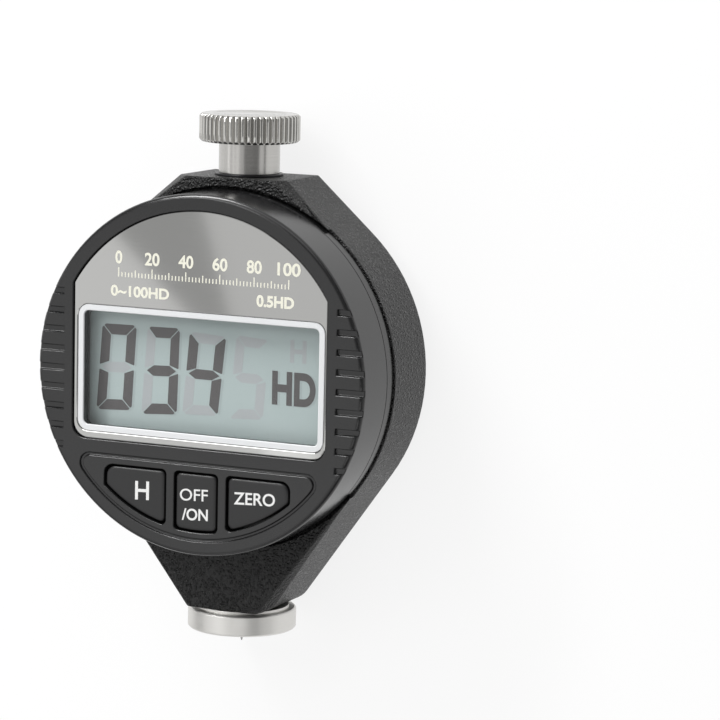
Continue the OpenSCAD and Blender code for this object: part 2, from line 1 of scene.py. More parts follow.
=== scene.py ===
# %% [markdown]
# A pocket digital durometer lies on its back cover with the display up. The solid parts come from the
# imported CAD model, and this file gives them their looks: paint, plastic, steel, print and the reading on
# the display. Each step first says what the real piece is, how it could be made, and why it is made this
# way.

# %% Load the frame
import json
import math

import bpy
import numpy as np
from mathutils import Matrix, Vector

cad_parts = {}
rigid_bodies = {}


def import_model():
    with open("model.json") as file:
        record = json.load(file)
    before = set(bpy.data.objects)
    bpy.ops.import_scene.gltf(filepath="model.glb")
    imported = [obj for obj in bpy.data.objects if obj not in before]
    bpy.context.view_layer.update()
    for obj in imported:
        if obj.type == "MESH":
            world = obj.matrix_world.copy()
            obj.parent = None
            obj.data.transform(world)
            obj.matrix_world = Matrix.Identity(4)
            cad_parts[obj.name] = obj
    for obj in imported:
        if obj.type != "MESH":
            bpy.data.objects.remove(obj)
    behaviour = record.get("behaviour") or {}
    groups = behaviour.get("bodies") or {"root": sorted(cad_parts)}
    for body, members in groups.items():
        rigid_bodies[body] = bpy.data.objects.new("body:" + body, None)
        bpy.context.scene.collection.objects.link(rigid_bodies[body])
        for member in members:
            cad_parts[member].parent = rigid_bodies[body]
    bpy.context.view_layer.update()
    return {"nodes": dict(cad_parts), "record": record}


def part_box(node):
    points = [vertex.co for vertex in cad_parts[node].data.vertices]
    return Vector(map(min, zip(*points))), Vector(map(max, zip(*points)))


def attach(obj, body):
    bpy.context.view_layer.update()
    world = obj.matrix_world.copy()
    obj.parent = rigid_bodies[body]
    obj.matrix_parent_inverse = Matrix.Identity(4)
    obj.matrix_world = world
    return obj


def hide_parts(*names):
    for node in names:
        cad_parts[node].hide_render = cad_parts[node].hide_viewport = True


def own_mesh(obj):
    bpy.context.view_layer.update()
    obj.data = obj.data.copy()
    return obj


for leftover in list(bpy.data.objects):
    bpy.data.objects.remove(leftover)
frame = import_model()
nodes = frame["nodes"]
MM = 0.001

# %% [markdown]
# The picture looks down on the display from the right, a little from the knob's end, and the camera is
# rolled by about one degree. A Track To constraint could aim it, but it can't give that roll. So a helper
# writes the camera's own axes as the columns of its matrix: right, up and back. The lamps use the same
# helper later.

# %% Camera
CAMERA_PLACE = (236.04, 78.39, 485.24)
CAMERA_BACK = (0.40804, 0.14436, 0.90147)
CAMERA_ROLL = 1.226
CAMERA_LENS = 162.98
CAMERA_SENSOR = 36.0


def facing(place, back, roll):
    """Axes as columns: right, up, back and place. Right is square to Y until roll, in degrees, turns it."""
    back = np.array(back, float) / np.linalg.norm(back)
    level = np.cross([0.0, 1.0, 0.0], back)
    level /= np.linalg.norm(level)
    rise = np.cross(back, level)
    turn = math.radians(roll)
    right = math.cos(turn) * level + math.sin(turn) * rise
    up = math.cos(turn) * rise - math.sin(turn) * level
    axes = np.eye(4)
    axes[:3] = np.column_stack([right, up, back, np.array(place) * MM])
    return Matrix(axes.tolist())


scene = bpy.context.scene
scene.view_settings.view_transform = "Standard"
camera_data = bpy.data.cameras.new("photo_camera")
camera_data.lens = CAMERA_LENS
camera_data.sensor_width = CAMERA_SENSOR
camera = bpy.data.objects.new("photo_camera", camera_data)
camera.matrix_world = facing(CAMERA_PLACE, CAMERA_BACK, CAMERA_ROLL)
scene.collection.objects.link(camera)
scene.camera = camera
print("camera at mm", CAMERA_PLACE, "lens", CAMERA_LENS)

# %% [markdown]
# Every finish below is a small node tree. It could be clicked together in the Shader Editor, but a script
# has to be read. A helper adds a node and sets its sockets in one line, so that each material reads as a
# recipe: where the pattern comes from, how it is scaled, and which socket it drives. Object coordinates
# are used because every piece sits unturned at the origin, so one unit of a pattern is one metre.

# %% Adding nodes


def node(tree, kind, links=None, **settings):
    """Adds a node; settings are its properties or socket values, links are sockets fed by other nodes."""
    made = tree.nodes.new(kind)
    for key, value in settings.items():
        if key in made.bl_rna.properties:
            setattr(made, key, value)
        else:
            made.inputs[key.replace("_", " ")].default_value = value
    for key, source in (links or {}).items():
        tree.links.new(source, made.inputs[key])
    return made


def empty_finish(name):
    """A node material with nothing in it but its output, and that output's socket for a surface."""
    finish = bpy.data.materials.new(name)
    finish.use_nodes = True
    tree = finish.node_tree
    tree.nodes.clear()
    return finish, tree, node(tree, "ShaderNodeOutputMaterial").inputs["Surface"]


def new_finish(name):
    """A node material with a shader, and the Object coordinates of the piece that wears it."""
    finish, tree, surface = empty_finish(name)
    shader = node(tree, "ShaderNodeBsdfPrincipled")
    tree.links.new(shader.outputs["BSDF"], surface)
    place = node(tree, "ShaderNodeTexCoord").outputs["Object"]
    return finish, tree, shader, place


# %% [markdown]
# Four more helpers cover what the finishes need: a noise pattern, a change of range, a blend of two
# colours, and a bump. Noise seldom leaves the middle of its range from 0 to 1, so a ramp usually stretches
# that middle part.

# %% Patterns
NOISE_RANGE = (0.3, 0.7)


def noise(tree, place, scale, detail=2.0, roughness=0.5):
    """Fractal noise in Object space: scale is in cells per metre, so 1000 gives cells of one millimetre."""
    made = node(tree, "ShaderNodeTexNoise", {"Vector": place},
                Scale=scale, Detail=detail, Roughness=roughness)
    return made.outputs["Fac"]


def ramp(tree, value, low, high, start=0.0, end=1.0):
    """Runs a value that goes from start to end into one that goes from low to high."""
    ranged = node(tree, "ShaderNodeMapRange", {"Value": value})
    for socket, number in (("From Min", start), ("From Max", end), ("To Min", low), ("To Max", high)):
        ranged.inputs[socket].default_value = number
    return ranged.outputs["Result"]


def tint(tree, value, low, high):
    """Mixes two colours by a value between 0 and 1."""
    mixed = node(tree, "ShaderNodeMix", {"Factor": value}, data_type="RGBA")
    mixed.inputs["A"].default_value = (*low, 1.0)
    mixed.inputs["B"].default_value = (*high, 1.0)
    return mixed.outputs["Result"]


def bump(tree, shader, height, strength, depth):
    """Tilts the shading normal by a height field; depth is the height in metres that a value of 1 means."""
    made = node(tree, "ShaderNodeBump", {"Height": height}, Strength=strength, Distance=depth)
    tree.links.new(made.outputs["Normal"], shader.inputs["Normal"])


# %% [markdown]
# The casing is a casting under black crinkle paint: a baked paint whose skin wrinkles into beads a few
# tenths of a millimetre wide, each with its own glint. Real displacement would need millions of faces, so
# the beads are a bump. Voronoi cells give the beads: the height falls with the square of the distance from
# the middle of a cell, and some fine noise roughens it.

# %% Crinkle paint
BEADS_PER_METRE = 2200.0
FINE_PER_METRE = 4200.0
BEAD_HEIGHT = 0.00022
BEAD_EDGE = 0.3
SHADED_TROUGH_BLACK = (0.001, 0.001, 0.0011)
BEAD_BLACK = (0.005, 0.005, 0.0053)


def crinkle_paint():
    """Black paint: height = 1 - (distance from a bead's middle) squared + fine noise; troughs are dull and
    get painted shade.
    """
    finish, tree, shader, place = new_finish("crinkle_paint_look")
    beads = node(tree, "ShaderNodeTexVoronoi", {"Vector": place}, feature="SMOOTH_F1",
                 Scale=BEADS_PER_METRE, Smoothness=0.4).outputs["Distance"]
    square = node(tree, "ShaderNodeMath", {0: beads, 1: beads}, operation="MULTIPLY").outputs["Value"]
    dome = ramp(tree, square, 1.0, 0.0, 0.0, BEAD_EDGE)
    fine = noise(tree, place, FINE_PER_METRE, 1.0)
    height = node(tree, "ShaderNodeMath", {0: dome, 1: fine}, operation="ADD").outputs["Value"]
    # The troughs get a darker black than the bead tops: painted shade in the hollows between the beads.
    tree.links.new(tint(tree, dome, SHADED_TROUGH_BLACK, BEAD_BLACK), shader.inputs["Base Color"])
    tree.links.new(ramp(tree, dome, 0.42, 0.2, 0.2, 0.9), shader.inputs["Roughness"])
    bump(tree, shader, height, 1.0, BEAD_HEIGHT)
    return finish


finishes = {"crinkle_paint": crinkle_paint()}
print("crinkle beads about", round(1000 / BEADS_PER_METRE, 2), "mm wide")

# %% [markdown]
# The display housing and its buttons are moulded plastic. The mould was spark-eroded, which leaves a very
# fine grain, so the gloss is broken up on a scale of a tenth of a millimetre. The buttons have a coarser
# grain. One recipe serves every plastic, and each row gives its name, its two colours, its roughness, the
# grain's cells per metre and the grain's depth in metres.

# %% Moulded plastics
DRIFT_PER_METRE = 90.0
GLOSS_CHANGE = 0.06
GRAIN_STRENGTH = 0.35
PLASTICS = {
    "charcoal_plastic": ("charcoal_look", (0.007, 0.007, 0.0073), (0.011, 0.011, 0.0114),
                         0.2, 9000.0, 0.00002),
    "button_plastic": ("button_look", (0.007, 0.007, 0.0073), (0.011, 0.011, 0.0114), 0.36, 5500.0, 0.00004),
    "black_plastic": ("inner_black_look", (0.012, 0.012, 0.012), (0.02, 0.02, 0.02), 0.5, 4000.0, 0.00003),
    "pale_plastic": ("stem_look", (0.6, 0.6, 0.57), (0.68, 0.68, 0.65), 0.4, 4000.0, 0.00002),
    "contact_rubber": ("rubber_look", (0.03, 0.03, 0.034), (0.05, 0.05, 0.055), 0.7, 5000.0, 0.00003),
    "board_green": ("board_look", (0.008, 0.07, 0.03), (0.012, 0.1, 0.045), 0.35, 1500.0, 0.00002),
}


def moulded_plastic(name, dark, light, roughness, grain, depth):
    """Plastic: gloss and height follow a fine grain, and the colour drifts over about ten millimetres."""
    finish, tree, shader, place = new_finish(name)
    drift = noise(tree, place, DRIFT_PER_METRE, 3.0)
    tree.links.new(tint(tree, drift, dark, light), shader.inputs["Base Color"])
    grains = noise(tree, place, grain)
    gloss = ramp(tree, grains, roughness - GLOSS_CHANGE, roughness + GLOSS_CHANGE, *NOISE_RANGE)
    tree.links.new(gloss, shader.inputs["Roughness"])
    bump(tree, shader, grains, GRAIN_STRENGTH, depth)
    return finish


for slot, recipe in PLASTICS.items():
    finishes[slot] = moulded_plastic(*recipe)
print("plastics", ", ".join(PLASTICS))

# %% [markdown]
# Turned steel keeps the marks of the lathe: very fine rings round the axis. The axis of the handle and the
# foot runs along Y, so stretching a noise pattern flat across X and Z and squeezing it along Y gives those
# rings. An image of scratches would need a UV map on every part, and this needs none. The face plate is
# brushed sheet, so it takes the same recipe with finer lines. Each row gives the name, two colours, the
# roughness, the pattern's scale along X, Y and Z, and where they differ from the usual ones, the marks'
# depth in metres and their strength.

# %% Metals
GLOSS_SPREAD = (0.8, 1.3)
METALS = {
    "knurled_steel": ("knurled_steel_look", (0.49, 0.482, 0.46), (0.55, 0.542, 0.52),
                      0.17, (250.0, 250.0, 250.0), 0.000001, 0.05),
    "turned_steel": ("turned_steel_look", (0.42, 0.412, 0.395), (0.55, 0.54, 0.52),
                     0.2, (60.0, 9000.0, 60.0), 0.000003, 0.2),
    "satin_steel": ("satin_steel_look", (0.66, 0.65, 0.625), (0.77, 0.76, 0.735),
                    0.4, (60.0, 7000.0, 60.0), 0.000003, 0.2),
    "screw_steel": ("screw_steel_look", (0.45, 0.45, 0.44), (0.6, 0.6, 0.59), 0.3, (2500.0, 2500.0, 60.0)),
    "hard_steel": ("hard_steel_look", (0.5, 0.5, 0.5), (0.62, 0.62, 0.62), 0.2, (60.0, 6000.0, 60.0)),
    "black_steel": ("black_steel_look", (0.03, 0.03, 0.032), (0.06, 0.06, 0.062),
                    0.35, (900.0, 900.0, 900.0)),
    "spring_steel": ("spring_steel_look", (0.35, 0.35, 0.36), (0.5, 0.5, 0.51), 0.3, (800.0, 800.0, 800.0)),
    "bracket_alloy": ("bracket_look", (0.55, 0.55, 0.53), (0.65, 0.65, 0.63), 0.4, (300.0, 3000.0, 300.0)),
    "guide_bronze": ("bronze_look", (0.42, 0.27, 0.11), (0.55, 0.37, 0.17), 0.32, (60.0, 5000.0, 60.0)),
    "contact_brass": ("contact_look", (0.6, 0.5, 0.28), (0.7, 0.6, 0.36), 0.3, (2000.0, 300.0, 300.0)),
    "cell_steel": ("cell_look", (0.55, 0.55, 0.55), (0.66, 0.66, 0.66), 0.25, (1200.0, 1200.0, 1200.0)),
    "grey_plate": ("grey_plate_look", (0.375, 0.375, 0.366), (0.405, 0.405, 0.396),
                   0.05, (150.0, 26000.0, 150.0), 0.0000002, 0.1),
}


def metal(name, dark, light, roughness, stretch, depth=0.000004, strength=0.3):
    """Metal whose colour, gloss and height follow one noise, stretched by its scale along X, Y and Z."""
    finish, tree, shader, place = new_finish(name)
    shader.inputs["Metallic"].default_value = 1.0
    stretched = node(tree, "ShaderNodeMapping", {"Vector": place}, Scale=stretch).outputs["Vector"]
    marks = noise(tree, stretched, 1.0, 3.0, 0.6)
    tree.links.new(tint(tree, marks, dark, light), shader.inputs["Base Color"])
    gloss = ramp(tree, marks, GLOSS_SPREAD[0] * roughness, GLOSS_SPREAD[1] * roughness, *NOISE_RANGE)
    tree.links.new(gloss, shader.inputs["Roughness"])
    bump(tree, shader, marks, strength, depth)
    return finish


for slot, recipe in METALS.items():
    finishes[slot] = metal(*recipe)
print("metals", ", ".join(METALS))

# %% [markdown]
# The window border is thin white plastic, the liquid crystal panel is a grey-green reflector behind glass,
# and the legends are ink. All three are even colours with a faint mottle, too fine to see as a pattern. A
# single colour would look like paper, so a noise of about a fifth of a millimetre shifts it a little.

# %% White border and display panel


def mottled(name, dark, light, grain, roughness, gloss=0.5):
    """An even colour with a mottle of so many grains per metre; gloss is the strength of the mirror part."""
    finish, tree, shader, place = new_finish(name)
    tree.links.new(tint(tree, noise(tree, place, grain, 1.0), dark, light), shader.inputs["Base Color"])
    shader.inputs["Roughness"].default_value = roughness
    shader.inputs["Specular IOR Level"].default_value = gloss
    return finish


finishes["white_print"] = mottled("white_print_look", (0.67, 0.68, 0.69), (0.73, 0.74, 0.75),
                                  5000.0, 0.35, 0.12)
finishes["lcd_glass"] = mottled("lcd_glass_look", (0.355, 0.432, 0.428), (0.415, 0.495, 0.491),
                                4000.0, 0.5)
print("display finishes", finishes["white_print"].name, finishes["lcd_glass"].name)

# %% [markdown]
# The window is a clear sheet. A glass shader bends light twice and makes the thin sheet dark and noisy,
# because light from the lamps can't be traced straight through it. So light passes straight through here,
# and only a share is mirrored. That share grows as the sheet is seen at a grazing angle, as it does on a
# real one.

# %% Clear window
MIRROR_SHARE = (0.02, 0.6)
GRAZING_POWER = 5.0


def clear_window():
    """Clear sheet: mirrored share = least + (most - least) x (turn away from the eye) to the fifth power."""
    finish, tree, surface = empty_finish("clear_window_look")
    through = node(tree, "ShaderNodeBsdfTransparent").outputs["BSDF"]
    mirror = node(tree, "ShaderNodeBsdfGlossy", Roughness=0.06).outputs["BSDF"]
    away = node(tree, "ShaderNodeLayerWeight", Blend=0.5).outputs["Facing"]
    steep = node(tree, "ShaderNodeMath", {0: away}, operation="POWER")
    steep.inputs[1].default_value = GRAZING_POWER
    share = ramp(tree, steep.outputs["Value"], *MIRROR_SHARE)
    mixed = node(tree, "ShaderNodeMixShader", {0: share, 1: through, 2: mirror})
    tree.links.new(mixed.outputs["Shader"], surface)
    return finish


finishes["clear_window"] = clear_window()
print("finishes", len(finishes))

# %% [markdown]
# The record names a material slot for every CAD node, so one loop dresses them all. Two nodes get a look
# of their own: the presser foot is ground to a satin, and the washer under the post is blackened.

# %% Finish of every CAD node
OWN_LOOK = {"presser_foot": "satin_steel", "post_washer": "black_steel"}
slot_of = {row["node"]: row["material_slot"] for row in frame["record"]["subparts"]}
for name, piece in nodes.items():
    piece.material_slots[0].material = finishes[OWN_LOOK.get(name, slot_of[name])]
print("nodes dressed", len(slot_of))

# %% [markdown]
# A CAD edge is perfectly sharp, and a real edge never is: a tiny rounding catches the light and draws the
# outline of the piece. The CAD meshes come as loose triangles, so a Weld modifier joins them and a
# Decimate modifier merges those that lie in one plane, because a bevel makes spikes on thin triangles. A
# Bevel modifier then rounds every edge that is sharper than an angle. The mesh itself is not touched.

# %% Soft edges on CAD nodes
EDGE_ROUNDING = {
    "casing": 0.2, "display_base": 0.12, "display_shell": 0.17, "presser_foot": 0.06,
    "handle_post": 0.12, "post_washer": 0.06, "battery_cap": 0.15,
}
JOIN_WITHIN = 0.002
FLAT_ANGLE = 0.5
SHARP_ANGLE = 30.0


def soften(piece, width, segments=3):
    """Joins the triangles, merges those in one plane, and rounds each sharp edge by a width in mm."""
    weld = piece.modifiers.new("join_triangles", "WELD")
    weld.merge_threshold = JOIN_WITHIN * MM
    merge = piece.modifiers.new("merge_flat_faces", "DECIMATE")
    merge.decimate_type = "DISSOLVE"
    merge.angle_limit = math.radians(FLAT_ANGLE)
    bevel = piece.modifiers.new("round_edges", "BEVEL")
    bevel.width = width * MM
    bevel.segments = segments
    bevel.limit_method = "ANGLE"
    bevel.angle_limit = math.radians(SHARP_ANGLE)
    bevel.use_clamp_overlap = False
    even = piece.modifiers.new("flat_faces_stay_flat", "WEIGHTED_NORMAL")
    even.mode = "FACE_AREA_WITH_ANGLE"
    even.weight = 60


for name, width in EDGE_ROUNDING.items():
    soften(nodes[name], width)
print("softened", ", ".join(EDGE_ROUNDING))

# %% [markdown]
# The new pieces are surfaces worked out with numpy. A shape here is three arrays: the points in
# millimetres, the point numbers at the corners of all faces in one row, and the number of corners of each
# face. That is how Blender keeps a mesh too, so foreach_set can hand the arrays over whole. Most shapes
# are a stack of rings with equal numbers of points: quads join each ring to the next, and a face closes
# each end.

# %% Surface helpers


def grid_quads(rows, cols):
    """Quads of a grid that closes round its columns: a point, its next, and both in the row above."""
    row, col = np.meshgrid(np.arange(rows - 1), np.arange(cols), indexing="ij")
    after = (col + 1) % cols
    quads = [row * cols + col, row * cols + after, (row + 1) * cols + after, (row + 1) * cols + col]
    return np.stack(quads, -1).reshape(-1, 4)


def stacked(rings):
    """A closed body from a stack of rings: quads between the rings, and one face over each end."""
    rows, cols, _ = rings.shape
    quads = grid_quads(rows, cols)
    first = np.arange(cols)
    corners = np.concatenate([quads.ravel(), first[::-1], first + (rows - 1) * cols])
    return rings.reshape(-1, 3), corners, np.append(np.full(len(quads), 4), [cols, cols])


def new_piece(name, shape, slot, body, finish=None, sharp=35.0):
    """Puts a shape into a piece that rides on a body; its edges are smooth up to an angle in degrees."""
    points, corners, counts = shape
    mesh = bpy.data.meshes.new(name)
    mesh.vertices.add(len(points))
    mesh.vertices.foreach_set("co", (points * MM).ravel())
    mesh.loops.add(len(corners))
    mesh.loops.foreach_set("vertex_index", corners.astype(np.int32))
    mesh.polygons.add(len(counts))
    mesh.polygons.foreach_set("loop_start", (np.cumsum(counts) - counts).astype(np.int32))
    mesh.polygons.foreach_set("use_smooth", np.ones(len(counts), bool))
    mesh.update(calc_edges=True)
    mesh.set_sharp_from_angle(angle=math.radians(sharp))
    mesh.materials.append(finish or finishes[slot])
    piece = bpy.data.objects.new(name, mesh)
    scene.collection.objects.link(piece)
    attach(piece, body)
    print(name, "faces", len(mesh.polygons))
    return piece


# %% [markdown]
# The knob is turned and then straight-knurled: a wheel presses fifty rounded flutes into its rim. Cutting
# fifty grooves with booleans would be slow and leave bad triangles. On a grid it is one line: the radius
# at each point is the smaller of two radii, that of the turned blank at this height and that of the fluted
# bar at this angle.

# %% Knurled knob
AXIS_Z = 9.2
KNOB_FLUTES = 50
KNOB_R = 8.25
FLUTE_DEPTH = 0.48
FLUTE_POWER = 2.2
KNOB_PROFILE = np.array([
    [0.2, 39.15], [3.0, 39.15], [3.0, 36.55], [7.70, 36.55], [7.82, 36.58], [8.14, 36.84],
    [KNOB_R, 37.02], [KNOB_R, 38.2], [KNOB_R, 39.5], [KNOB_R, 40.68],
    [8.14, 40.86], [7.82, 41.12], [7.70, 41.15], [6.2, 41.15], [5.9, 41.05], [0.2, 41.05],
])


def knurled_knob(columns=1200):
    """Radius = min(turned profile, bar radius - depth x wave to a power); wave is a cosine from 0 to 1."""
    angle = np.linspace(0.0, 2 * np.pi, columns, endpoint=False)
    wave = 0.5 + 0.5 * np.cos(KNOB_FLUTES * angle)
    bar = KNOB_R - FLUTE_DEPTH * wave ** FLUTE_POWER
    radius = np.minimum(KNOB_PROFILE[:, :1], bar[None, :])
    along = np.broadcast_to(KNOB_PROFILE[:, 1:], radius.shape)
    return stacked(np.stack([radius * np.sin(angle), along, AXIS_Z + radius * np.cos(angle)], -1))


knob = new_piece("fluted_knob", knurled_knob(), "turned_steel", "housing", finishes["knurled_steel"], 50.0)
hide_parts("handle_knob")

# %% [markdown]
# The measuring spring is wire wound into a helix between the spindle's shoulder and the adjusting screw.
# It gets shorter as the needle goes in, which a rigid solid can't do. A circle of wire carried along the
# helix is a grid of points, and the piece gets a mesh of its own.

# %% Measuring spring
SPRING_TURNS = 9
SPRING_WIRE = 0.7


def spring_coil(low, high, steps=288, sides=10):
    """Radius = mean + half the wire x cos b, height = climb + half the wire x sin b, b going round it."""
    turn = np.linspace(0.0, SPRING_TURNS, steps + 1)[:, None]
    around = np.linspace(0.0, 2 * np.pi, sides, endpoint=False)[None, :]
    mean_radius = 0.5 * (high[0] - low[0] - SPRING_WIRE)
    radius = mean_radius + 0.5 * SPRING_WIRE * np.cos(around) + 0 * turn
    climb = (high[1] - low[1] - SPRING_WIRE) * turn / SPRING_TURNS
    along = low[1] + 0.5 * SPRING_WIRE * (1 + np.sin(around)) + climb
    angle = 2 * np.pi * turn
    return stacked(np.stack([radius * np.cos(angle), along, AXIS_Z + radius * np.sin(angle)], -1))


spring_low, spring_high = np.array(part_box("measuring_spring")) / MM
coil = spring_coil(spring_low, spring_high)
spring = new_piece("wound_spring", coil, "spring_steel", "housing", sharp=60.0)
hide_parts("measuring_spring")
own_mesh(spring)

# %% [markdown]
# Buttons, plate and window are flat outlines with rounded corners. A curve object could round them, but
# its number of points can't be steered, and rings have to match point for point. So an outline is a list
# of corners, each with a radius, and each corner becomes an arc that touches both of its edges.

# %% Outlines
CORNER_STEPS = 7


def rounded(corners):
    """Replaces each corner (x, y, radius) by an arc about the point that lies one radius from both edges."""
    place, radius = corners[:, :2], corners[:, 2:]
    to_last = np.roll(place, 1, axis=0) - place
    to_next = np.roll(place, -1, axis=0) - place
    to_last /= np.linalg.norm(to_last, axis=1, keepdims=True)
    to_next /= np.linalg.norm(to_next, axis=1, keepdims=True)
    half = 0.5 * np.arccos(np.clip((to_last * to_next).sum(1, keepdims=True), -1.0, 1.0))
    inward = to_last + to_next
    inward /= np.maximum(np.linalg.norm(inward, axis=1, keepdims=True), 1e-9)
    centre = place + inward * radius / np.sin(half)
    start = place + to_last * radius / np.tan(half) - centre
    end = place + to_next * radius / np.tan(half) - centre
    first = np.arctan2(start[:, 1], start[:, 0])
    sweep = np.arctan2(end[:, 1], end[:, 0]) - first
    sweep -= 2 * np.pi * np.round(sweep / (2 * np.pi))
    turn = first[:, None] + sweep[:, None] * np.linspace(0.0, 1.0, CORNER_STEPS)
    arcs = centre[:, None, :] + radius[:, None, :] * np.stack([np.cos(turn), np.sin(turn)], -1)
    kept = (radius > 0) | (np.arange(CORNER_STEPS) == 0)
    return arcs[kept]


def arc_corners(radius, first, last, count):
    """Corners along a circle about the origin, with no rounding of their own; angles are in degrees."""
    turn = np.radians(np.linspace(first, last, count + 1))
    return np.stack([radius * np.cos(turn), radius * np.sin(turn), 0 * turn], -1)


def lifted(outline, z):
    """A flat outline at a height."""
    return np.column_stack([outline, np.full(len(outline), z)])


# %% [markdown]
# Seen from above, the buttons share a straight top line and a lower edge on a circle about the display's
# middle. Each outline takes a margin, so that the same function gives the cap's face, its skirt and its
# hidden flange. All outlines run anticlockwise, which makes the faces of the finished body point outwards.

# %% Button outlines
BUTTON_TOP_Y = -15.9
BUTTON_ARC_R = 25.15
SIDE_BUTTON_X = (5.7, 16.48)
MIDDLE_HALF_W = 3.65
BUTTON_CORNER = 0.8
TIP_LOW_CORNER = 0.7
TIP_TOP_CORNER = 1.6
SIDE_ARC_MARGIN = 3.0
MIDDLE_ARC_MARGIN = 2.0


def side_button(side, grow):
    """A side button: straight top and sides, lower edge on the circle; side is 1, or -1 for its mirror."""
    inner, outer = SIDE_BUTTON_X[0] - grow, SIDE_BUTTON_X[1] + grow
    top, radius = BUTTON_TOP_Y + grow, BUTTON_ARC_R + grow
    first, last = -math.acos(inner / radius), -math.acos(outer / radius)
    arc_ends = math.degrees(first) + SIDE_ARC_MARGIN, math.degrees(last) - SIDE_ARC_MARGIN
    corners = np.vstack([
        [[inner, top, BUTTON_CORNER], [inner, radius * math.sin(first), BUTTON_CORNER]],
        arc_corners(radius, *arc_ends, 16),
        [[outer, radius * math.sin(last), TIP_LOW_CORNER], [outer, top, TIP_TOP_CORNER]],
    ])
    return rounded(corners * [side, 1, 1])[::side]


def middle_button(grow):
    """The middle button: a rectangle whose lower edge follows the circle."""
    half, top, radius = MIDDLE_HALF_W + grow, BUTTON_TOP_Y + grow, BUTTON_ARC_R + grow
    tilt = math.acos(half / radius)
    low = -radius * math.sin(tilt)
    reach = math.degrees(tilt) + MIDDLE_ARC_MARGIN
    corners = np.vstack([
        [[half, top, BUTTON_CORNER], [-half, top, BUTTON_CORNER], [-half, low, BUTTON_CORNER]],
        arc_corners(radius, 180 + reach, 360 - reach, 10),
        [[half, low, BUTTON_CORNER]],
    ])
    return rounded(corners)


print("side button points", len(side_button(1, 0.0)), "middle button points", len(middle_button(0.0)))

# %% [markdown]
# Each button is a moulded cap with a wide hidden flange, a straight skirt and a rounded top edge. It sits
# a little below the face, so that a pocket can't press it. A bevel on a thin cap would run into itself at
# the tip, so the cap is a profile carried round its outline: every step says how far the outline grows and
# how high it lies.

# %% Button caps
BUTTON_FACE_Z = 26.6
BUTTON_PROFILE = [
    (0.8, 22.45), (0.8, 23.45), (0.0, 23.45), (0.0, 26.22), (-0.05, 26.38), (-0.15, 26.5), (-0.3, 26.56),
    (-0.55, 26.59), (-0.75, BUTTON_FACE_Z),
]
BUTTON_OUTLINES = {
    "hold": lambda grow: side_button(-1, grow),
    "power": middle_button,
    "zero": lambda grow: side_button(1, grow),
}


def button_cap(outline):
    """Rings of a cap: the outline grown or shrunk by each step of the profile, at that step's height."""
    return stacked(np.array([lifted(outline(grow), z) for grow, z in BUTTON_PROFILE]))


for key, outline in BUTTON_OUTLINES.items():
    cap = new_piece(f"{key}_cap", button_cap(outline), "button_plastic", f"{key}_key", sharp=60.0)
    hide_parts(f"{key}_button")

# %% [markdown]
# The face plate is a sheet of brushed metal with a window in it. A flat face with a hole has no natural
# grid, and a boolean would leave long thin triangles. Seen from the middle of the window, though, every
# direction meets the window's edge once and the plate's edge once, so both outlines can be read off at the
# same set of angles.

# %% Outlines seen from the window's middle
WINDOW_MIDDLE = np.array([0.15, -0.15])
WINDOW_SIZE = np.array([44.3, 20.8])
WINDOW_CORNER = 1.9
RING_POINTS = 1440
FINE_CUTS = 9000


def window_outline(grow):
    """The window's rectangle with rounded corners, grown by a margin on every side."""
    half = WINDOW_SIZE / 2 + grow
    signs = np.array([[1, 1], [-1, 1], [-1, -1], [1, -1]])
    return rounded(np.column_stack([WINDOW_MIDDLE + signs * half, np.full(4, WINDOW_CORNER + grow)]))


def seen_from_middle(outline, z):
    """Points at even angles about the window's middle: the edges are cut fine, then read by angle."""
    closed = np.vstack([outline, outline[:1]])
    length = np.append(0.0, np.cumsum(np.linalg.norm(np.diff(closed, axis=0), axis=1)))
    fine = np.linspace(0.0, length[-1], FINE_CUTS, endpoint=False)
    arm_x, arm_y = (np.interp(fine, length, closed[:, axis]) - WINDOW_MIDDLE[axis] for axis in (0, 1))
    angle = np.linspace(-np.pi, np.pi, RING_POINTS, endpoint=False)
    reach = np.interp(angle, np.arctan2(arm_y, arm_x), np.hypot(arm_x, arm_y), period=2 * np.pi)
    return lifted(WINDOW_MIDDLE + reach[:, None] * np.column_stack([np.cos(angle), np.sin(angle)]), z)


def looped(rings):
    """A ring-shaped body: quads between the rings, and from the last ring back to the first."""
    rings = np.array(rings)
    rows, cols, _ = rings.shape
    quads = grid_quads(rows + 1, cols) % (rows * cols)
    return rings.reshape(-1, 3), quads.ravel(), np.full(len(quads), 4)


print("window ring points", len(seen_from_middle(window_outline(0.0), 0.0)))

# %% [markdown]
# The plate has straight sides and a top that follows the housing's circle, and its edges are dressed so
# that they shine. Its section is carried round as rings: up the outer edge, over the dressed corner,
# across the face, and down into the window.

# %% Face plate
PLATE_R = 26.6
PLATE_HALF_W = 22.8
PLATE_LOW_Y = -11.8
PLATE_CORNER = 2.4
PLATE_PLAY = 0.1
PLATE_EDGE = 0.16
PLATE_BOTTOM_Z = 25.25
PLATE_TOP_Z = 26.45


def plate_outline(grow):
    """Straight sides and bottom, and a top on the circle, inside its recess by a little play."""
    radius, half, low = (size + grow - PLATE_PLAY for size in (PLATE_R, PLATE_HALF_W, -PLATE_LOW_Y))
    tilt = math.degrees(math.acos(half / radius))
    top = arc_corners(radius, tilt, 180 - tilt, 64)
    return rounded(np.vstack([[[half, -low, PLATE_CORNER]], top, [[-half, -low, PLATE_CORNER]]]))


def plate_section(edge):
    """Rings round the plate's section: outer edge, dressed corner, face, dressed corner, window, under."""
    steps = [(0.0, -edge), (-0.3 * edge, -0.3 * edge), (-edge, 0.0)]
    outer = [seen_from_middle(plate_outline(grow), PLATE_TOP_Z + drop) for grow, drop in steps]
    inner = [seen_from_middle(window_outline(-grow), PLATE_TOP_Z + drop) for grow, drop in steps[::-1]]
    under = [seen_from_middle(outline(0.0), PLATE_BOTTOM_Z) for outline in (window_outline, plate_outline)]
    return looped(outer + inner + under)


